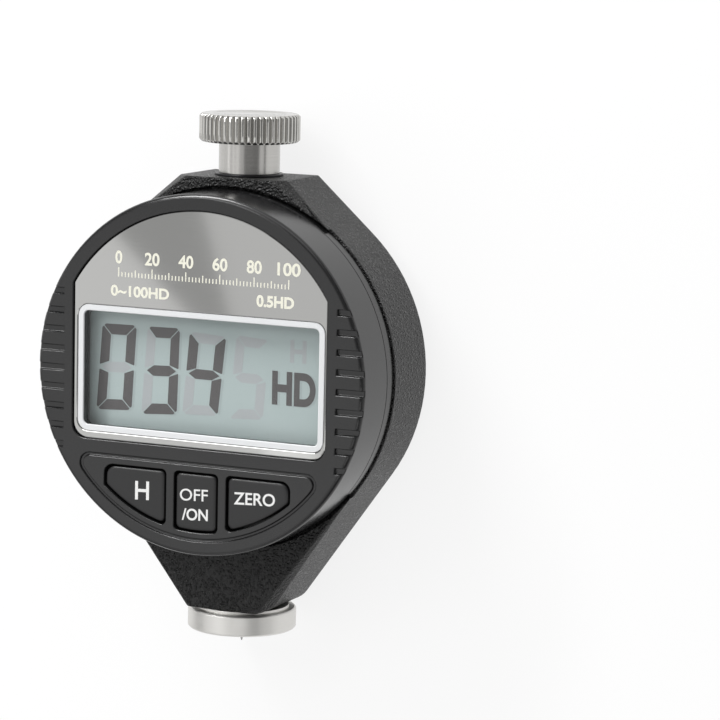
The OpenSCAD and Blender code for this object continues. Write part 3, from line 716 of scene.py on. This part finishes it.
plate = new_piece("brushed_plate", plate_section(PLATE_EDGE), "grey_plate", "housing", sharp=12.0)
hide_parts("face_plate")

# %% [markdown]
# The white border is a thin frame round the clear window, flush with the plate, on a black seal that keeps
# dust out. The seal's black also stands in for the shade in the recess under the border, a painted shade.
# Both are made in the same way as the plate. The border's shoulders are rounded, and a ring just inside each
# shoulder keeps the smooth shading from spreading over its flat top.

# %% White border and its seal
BORDER_TOP_Z = 26.4
BORDER_W = 1.05
BORDER_T = 0.3
BORDER_PLAY = 0.04
BORDER_EDGE = 0.1
FLAT_START = 0.14


def border_ring(inset, z):
    """The window's outline drawn in by an inset, at a height."""
    return seen_from_middle(window_outline(-inset), z)


def border_section(edge):
    """Rings round the border's section: outer foot, shoulder, flat top, shoulder, inner foot."""
    low, high = BORDER_TOP_Z - BORDER_T, BORDER_TOP_Z
    steps = [
        (BORDER_PLAY, low), (BORDER_PLAY, high - edge), (edge, high), (FLAT_START, high),
        (BORDER_W - FLAT_START, high), (BORDER_W - edge, high), (BORDER_W, high - edge), (BORDER_W, low),
    ]
    return looped([border_ring(inset, z) for inset, z in steps])


def seal_section():
    """Rings round the seal's section, a plain rectangle from the plate's underside to the border."""
    low, high = PLATE_BOTTOM_Z, BORDER_TOP_Z - BORDER_T
    steps = [(BORDER_PLAY, low), (BORDER_PLAY, high), (BORDER_W, high), (BORDER_W, low)]
    return looped([border_ring(inset, z) for inset, z in steps])


border = new_piece("white_border", border_section(BORDER_EDGE), "white_print", "housing", sharp=50.0)
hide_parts("window_border")
# The seal's black is partly painted shade: it darkens the recess under the white border.
new_piece("window_seal", seal_section(), "black_plastic", "housing", sharp=50.0)

# %% [markdown]
# The window is a flat sheet that drops into the border, with a hair of play so that the two don't share a
# wall. Two rings are enough for it: one for its underside and one for its face.

# %% Window sheet
SHEET_Z = (25.45, 26.25)
SHEET_PLAY = 0.03
sheet_rings = np.array([border_ring(BORDER_W + SHEET_PLAY, z) for z in SHEET_Z])
sheet = new_piece("window_sheet", stacked(sheet_rings), "clear_window", "housing", sharp=50.0)
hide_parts("window_lens")

# %% [markdown]
# Legends and scales are ink about a hundredth of a millimetre thick. An image on the plate would blur
# close up, so the ink is thin geometry. Blender's own font gives the letters: a text object is turned into
# a mesh, and its points are then fitted to the box that the print fills on the real face.

# %% Ink shapes
INK_T = 0.012


def letters(words, box, low_z, thicken=0.0, climb=0.0):
    """Words whose share of their own box becomes their share of (x0, x1, y0, y1); climb tilts the line."""
    curve = bpy.data.curves.new("words", "FONT")
    curve.body = words
    curve.offset = thicken
    curve.extrude = 0.01
    source = bpy.data.objects.new("words", curve)
    scene.collection.objects.link(source)
    flat = bpy.data.meshes.new_from_object(source.evaluated_get(bpy.context.evaluated_depsgraph_get()))
    points = np.zeros(3 * len(flat.vertices))
    corners = np.zeros(len(flat.loops), np.int32)
    counts = np.zeros(len(flat.polygons), np.int32)
    flat.vertices.foreach_get("co", points)
    flat.loops.foreach_get("vertex_index", corners)
    flat.polygons.foreach_get("loop_total", counts)
    bpy.data.objects.remove(source)
    bpy.data.meshes.remove(flat)
    points = points.reshape(-1, 3)
    share = (points - points.min(0)) / np.ptp(points, axis=0)
    placed = np.array([box[0], box[2], low_z]) + share * [box[1] - box[0], box[3] - box[2], INK_T]
    placed[:, 1] += climb * (placed[:, 0] - 0.5 * (box[0] + box[1]))
    return placed, corners, counts


def prisms(outlines, low_z):
    """A thin prism on each flat outline: points at two heights, a face over each end, a wall round it."""
    number, sides, _ = outlines.shape
    low = np.concatenate([outlines, np.full((number, sides, 1), low_z)], -1)
    points = np.concatenate([low, low + [0, 0, INK_T]], 1).reshape(-1, 3)
    around = np.arange(sides)
    after = (around + 1) % sides
    walls = np.stack([around, after, sides + after, sides + around], -1).ravel()
    corners = np.concatenate([around[::-1], sides + around, walls])
    corners = (corners + 2 * sides * np.arange(number)[:, None]).ravel()
    return points, corners, np.tile([sides, sides] + [4] * sides, number)


def joined(shapes):
    """One shape from several: each one's corner numbers are shifted past the points before it."""
    points, corners, counts = zip(*shapes)
    starts = np.cumsum([0] + [len(part) for part in points[:-1]])
    shifted = np.concatenate([start + part for start, part in zip(starts, corners)])
    return np.vstack(points), shifted, np.concatenate(counts)


# %% [markdown]
# The plate carries a plain scale from 0 to 100 with fifty-one ticks, and the range and the step under it.
# The ticks are rectangles, whose corners are worked out all at once from the tick numbers.

# %% Scale ticks and numbers
SCALE_X = (-14.6, 15.8)
SCALE_Y = 15.1
TICKS = 50
TICK_HALF_W = 0.1
LONG_TICK, MIDDLE_TICK, SHORT_TICK = 1.5, 1.15, 0.75
NUMBER_Y = (17.2, 19.3)
DIGIT_W = 1.25
DIGIT_GAP = 0.15
NUMBER_WEIGHT = 0.025
tick = np.arange(TICKS + 1)
tick_x = np.interp(tick, (0, TICKS), SCALE_X)
tick_top = SCALE_Y + np.select([tick % 10 == 0, tick % 5 == 0], [LONG_TICK, MIDDLE_TICK], SHORT_TICK)
tick_low = np.full(len(tick), SCALE_Y)
left, right = tick_x - TICK_HALF_W, tick_x + TICK_HALF_W
tick_corners = np.stack([left, tick_low, right, tick_low, right, tick_top, left, tick_top], -1)
scale_parts = [prisms(tick_corners.reshape(-1, 4, 2), PLATE_TOP_Z)]
for number in range(0, 101, 20):
    words = str(number)
    middle = np.interp(number, (0, 100), SCALE_X)
    half = 0.5 * (DIGIT_W * len(words) + DIGIT_GAP * (len(words) - 1))
    number_box = (middle - half, middle + half, *NUMBER_Y)
    scale_parts.append(letters(words, number_box, PLATE_TOP_Z, NUMBER_WEIGHT))
print("ticks", len(tick), "numbers", len(scale_parts) - 1)

# %% [markdown]
# The print is cream ink, pressed through a fine mesh. The scale, the range and the step went on in one
# pass on the real plate, so here they are one piece with one finish.

# %% Plate print
INK_MESH = 6000.0
INK_ROUGHNESS = 0.4
scale_parts.append(letters("0~100HD", (-16.0, -5.4, 11.9, 13.7), PLATE_TOP_Z, 0.032))
scale_parts.append(letters("0.5HD", (10.2, 16.8, 12.0, 13.9), PLATE_TOP_Z, 0.04))
plate_ink = mottled("plate_ink", (0.74, 0.73, 0.61), (0.80, 0.79, 0.69), INK_MESH, INK_ROUGHNESS)
new_piece("plate_print", joined(scale_parts), "white_print", "housing", plate_ink)

# %% [markdown]
# Each button has its legend in white ink, and the legend rides on its button so that both go down
# together. The lines of print climb a little to the right. Each row gives the words, the box that they
# fill and how much their strokes are thickened.

# %% Button legends
LEGEND_CLIMB = 0.045
LEGENDS = {
    "hold": [("H", (-11.07, -8.52, -21.0, -17.95), 0.014)],
    "power": [("OFF", (-2.89, 2.16, -20.28, -18.33), 0.006), ("/ON", (-2.47, 2.21, -23.46, -21.53), 0.02)],
    "zero": [("ZERO", (6.83, 14.14, -19.96, -17.93), 0.016)],
}
legend_ink = mottled("legend_ink", (0.70, 0.70, 0.69), (0.80, 0.80, 0.79), INK_MESH, INK_ROUGHNESS)
for key, lines in LEGENDS.items():
    shapes = [letters(words, box, BUTTON_FACE_Z, weight, LEGEND_CLIMB) for words, box, weight in lines]
    new_piece(f"{key}_legend", joined(shapes), "white_print", f"{key}_key", legend_ink)

# %% [markdown]
# The reading is made of seven-segment figures. On the real panel the segments are clear electrodes that
# turn dark, and the ones that are off still show as faint ghosts. Three bars are drawn in a cell of 6.4 by
# 14.2 mm, the upper, the upper left and the middle one, and mirroring gives the other four. A mirror turns
# an outline round, so its corners are then taken in the other order.

# %% Segment outlines
CELL_W, CELL_H = 6.4, 14.2
CELL_MID = CELL_H / 2
BAR = 1.72
GAP = 0.1
CHAMFER = 0.55
TIP = 0.45
NICK = 0.12
NICK_FOOT = 0.3
CHAMFER_Y = CELL_H - CHAMFER / 2
BAR_Y = CELL_H - BAR
UPPER_BAR = np.array([
    [CHAMFER / 2 + GAP, CHAMFER_Y], [BAR + GAP, BAR_Y], [CELL_W - BAR - GAP, BAR_Y],
    [CELL_W - CHAMFER / 2 - GAP, CHAMFER_Y], [CELL_W - CHAMFER - GAP, CELL_H], [CHAMFER + GAP, CELL_H],
])
LEFT_BAR = np.array([
    [0, CELL_MID + NICK_FOOT + NICK + GAP], [NICK, CELL_MID + NICK_FOOT + GAP],
    [BAR, CELL_MID + BAR / 2 + GAP], [BAR, BAR_Y - GAP],
    [CHAMFER / 2, CHAMFER_Y - GAP], [0, CELL_H - CHAMFER - GAP],
])
MIDDLE_BAR = np.array([
    [BAR, CELL_MID - BAR / 2], [CELL_W - BAR, CELL_MID - BAR / 2], [CELL_W - TIP, CELL_MID],
    [CELL_W - BAR, CELL_MID + BAR / 2], [BAR, CELL_MID + BAR / 2], [TIP, CELL_MID],
])


def across(bar):
    """The bar mirrored from left to right in its cell."""
    return (bar * [-1, 1] + [CELL_W, 0])[::-1]


def below(bar):
    """The bar mirrored from top to bottom in its cell."""
    return (bar * [1, -1] + [0, CELL_H])[::-1]


SEGMENTS = {
    "a": UPPER_BAR, "b": across(LEFT_BAR), "c": across(below(LEFT_BAR)), "d": below(UPPER_BAR),
    "e": below(LEFT_BAR), "f": LEFT_BAR, "g": MIDDLE_BAR,
}
print("segments", ", ".join(SEGMENTS))

# %% [markdown]
# Every figure leans forward, and each by a slightly different amount. Turning and shearing by hand would
# be guess work, so a figure is fitted to the four corners that it fills: each point of the cell goes to
# the blend of those corners by its share of the cell's width and height. The panel has room for four
# figures, and three are lit.

# %% Figures on the panel
PANEL_Z = 23.25
FIRST_CELL = [(-20.2, -7.45), (-13.7, -7.1), (-19.2, 6.8), (-12.9, 6.9)]
SECOND_CELL = [(-11.9, -7.5), (-5.4, -7.1), (-10.9, 6.9), (-5.0, 7.0)]
THIRD_CELL = [(-4.4, -6.9), (2.0, -6.7), (-3.2, 6.6), (3.35, 6.3)]
FOURTH_CELL = [(4.0, -6.9), (10.1, -6.6), (5.2, 6.7), (11.0, 6.3)]
UNIT_BOX = (11.65, 19.35, -3.95, 1.5)
UNIT_WEIGHT = 0.045


def figure(segments, corners, low_z, shift=(0.0, 0.0)):
    """Prisms of the named segments; a point (u, v) of the cell is the blend of four corners by u and v."""
    cell = np.array([SEGMENTS[name] for name in segments]) / [CELL_W, CELL_H]
    u, v = cell[..., :1], cell[..., 1:]
    lower_left, lower_right, upper_left, upper_right = np.array(corners, float)
    lower = (1 - u) * lower_left + u * lower_right
    upper = (1 - u) * upper_left + u * upper_right
    return prisms((1 - v) * lower + v * upper + shift, low_z)


def reading(low_z, shift):
    """The lit figures 0, 3 and 4 and the unit beside them, all moved by a shift."""
    unit_box = np.array(UNIT_BOX) + np.repeat(shift, 2)
    return joined([
        figure("abcdef", FIRST_CELL, low_z, shift), figure("abgcd", SECOND_CELL, low_z, shift),
        figure("fgbc", THIRD_CELL, low_z, shift), letters("HD", unit_box, low_z, UNIT_WEIGHT),
    ])


# %% [markdown]
# Three layers lie on the panel: the ghosts of segments that are off, the shade that the lit segments throw
# on the reflector behind them, and the lit segments. The shade is a real effect of the glass between them,
# and it is drawn as a paler copy a little to the side, because the panel here is one solid with no depth
# to throw it into.

# %% Ghosts, shade and lit segments
SHADE_SHIFT = (0.42, -0.12)
SHADE_Z = PANEL_Z + 0.004
LIT_Z = PANEL_Z + 0.012
ghost_ink = mottled("ghost_segment", (0.345, 0.372, 0.385), (0.395, 0.422, 0.432), INK_MESH, INK_ROUGHNESS)
shade_ink = mottled("segment_shade", (0.31, 0.37, 0.37), (0.36, 0.43, 0.43), INK_MESH, INK_ROUGHNESS)
lit_ink = mottled("lit_segment", (0.048, 0.045, 0.046), (0.078, 0.073, 0.074), INK_MESH, INK_ROUGHNESS)
ghosts = joined([
    figure("g", FIRST_CELL, PANEL_Z), figure("fe", SECOND_CELL, PANEL_Z), figure("aed", THIRD_CELL, PANEL_Z),
    figure("afgcd", FOURTH_CELL, PANEL_Z), letters("H", (14.75, 17.6, 3.0, 6.7), PANEL_Z, 0.03),
])
new_piece("ghost_segments", ghosts, "lcd_glass", "housing", ghost_ink)
new_piece("segment_shade", reading(SHADE_Z, SHADE_SHIFT), "lcd_glass", "housing", shade_ink)
new_piece("lit_segments", reading(LIT_Z, (0.0, 0.0)), "lcd_glass", "housing", lit_ink)

# %% [markdown]
# The floor is a plain white sheet. Lighting it until it is white would burn out the object, so it adds
# some of its own white where the camera, a mirror or the window sees it. The background stays white and a
# soft shadow remains.

# %% Floor
FLOOR_HALF = 1.5
FLOOR_Z = -0.0001
FLOOR_WHITE_SHARE = 0.84


def floor_sheet():
    """A white sheet: diffuse, mixed with a share of plain white for camera, mirror and window rays."""
    finish, tree, surface = empty_finish("floor_look")
    diffuse = node(tree, "ShaderNodeBsdfDiffuse", Color=(0.9, 0.9, 0.9, 1.0)).outputs["BSDF"]
    white = node(tree, "ShaderNodeEmission", Color=(1.0, 1.0, 1.0, 1.0), Strength=1.0).outputs["Emission"]
    ray = node(tree, "ShaderNodeLightPath").outputs
    mirrored = node(tree, "ShaderNodeMath", {0: ray["Is Camera Ray"], 1: ray["Is Glossy Ray"]},
                    operation="MAXIMUM").outputs["Value"]
    seen = node(tree, "ShaderNodeMath", {0: mirrored, 1: ray["Is Transmission Ray"]},
                operation="MAXIMUM").outputs["Value"]
    share = node(tree, "ShaderNodeMath", {0: seen}, operation="MULTIPLY")
    share.inputs[1].default_value = FLOOR_WHITE_SHARE
    mixed = node(tree, "ShaderNodeMixShader", {0: share.outputs["Value"], 1: diffuse, 2: white})
    tree.links.new(mixed.outputs["Shader"], surface)
    return finish


floor_mesh = bpy.data.meshes.new("floor")
floor_corners = np.array([[-1, -1, 0], [1, -1, 0], [1, 1, 0], [-1, 1, 0]]) * FLOOR_HALF + [0, 0, FLOOR_Z]
floor_mesh.from_pydata(floor_corners.tolist(), [], [(0, 1, 2, 3)])
floor_mesh.materials.append(floor_sheet())
floor = bpy.data.objects.new("floor", floor_mesh)
scene.collection.objects.link(floor)
print("floor side in metres", 2 * FLOOR_HALF)

# %% [markdown]
# The light is a set of soft boxes, as in a small studio. Shiny plate and steel show the boxes themselves,
# so their places matter more than their strength: the edges of the overhead boxes draw the wedge across
# the plate, and the narrow strip beyond the knob draws the bright lines on the steel and the glints on the
# paint. A box's brightness is given as seen in a mirror, where 1 is white, so that it can be compared with
# the tones of the plate.

# %% Light panels


def light_panel(name, place, target, size, radiance, roll=0.0):
    """A soft box at a place that faces a target, in millimetres; its power is pi x area x radiance."""
    lamp = bpy.data.lights.new(name, "AREA")
    lamp.shape = "RECTANGLE"
    lamp.size = size[0] * MM
    lamp.size_y = size[1] * MM
    lamp.energy = math.pi * lamp.size * lamp.size_y * radiance
    panel = bpy.data.objects.new(name, lamp)
    panel.matrix_world = facing(place, np.subtract(place, target), roll)
    panel.visible_camera = False
    scene.collection.objects.link(panel)
    print(name, "power in watts", round(lamp.energy, 3))


light_panel("left_box", (-498, -326, 467), (-498, -326, 0), (760, 900), 0.62, 47.6)
light_panel("upper_box", (-94, 1, 480), (-94, 1, 0), (280, 900), 0.44, 16.7)
light_panel("edge_box", (-216, -36, 480), (-216, -36, 0), (22, 400), 0.3, 16.7)
light_panel("back_box", (-305, -57, 600), (-305, -57, 0), (360, 360), 0.41)
light_panel("sparkle_box", (-215, 230, 470), (0, 20, 16), (220, 140), 5.0)
light_panel("foot_box", (220, -190, 480), (0, -40, 10), (260, 200), 1.2)
light_panel("left_wall", (-900, 40, 170), (0, 0, 10), (900, 300), 0.8)
light_panel("right_wall", (700, -100, 220), (0, 0, 10), (240, 700), 0.6)
light_panel("foot_wall", (-60, -680, 330), (0, 0, 10), (620, 260), 0.8)
light_panel("knob_box", (40, 800, 420), (0, 0, 10), (900, 600), 1.3)
light_panel("knob_strip", (-310, 640, 330), (0, 0, 10), (120, 520), 28.0)

# %% [markdown]
# A weak white world fills what the boxes leave dark. It stands for the light that a room throws back.

# %% World
WORLD_STRENGTH = 0.25
world = bpy.data.worlds.new("studio")
world.use_nodes = True
background = world.node_tree.nodes["Background"]
background.inputs["Color"].default_value = (1.0, 1.0, 1.0, 1.0)
background.inputs["Strength"].default_value = WORLD_STRENGTH
scene.world = world
print("world strength", WORLD_STRENGTH)
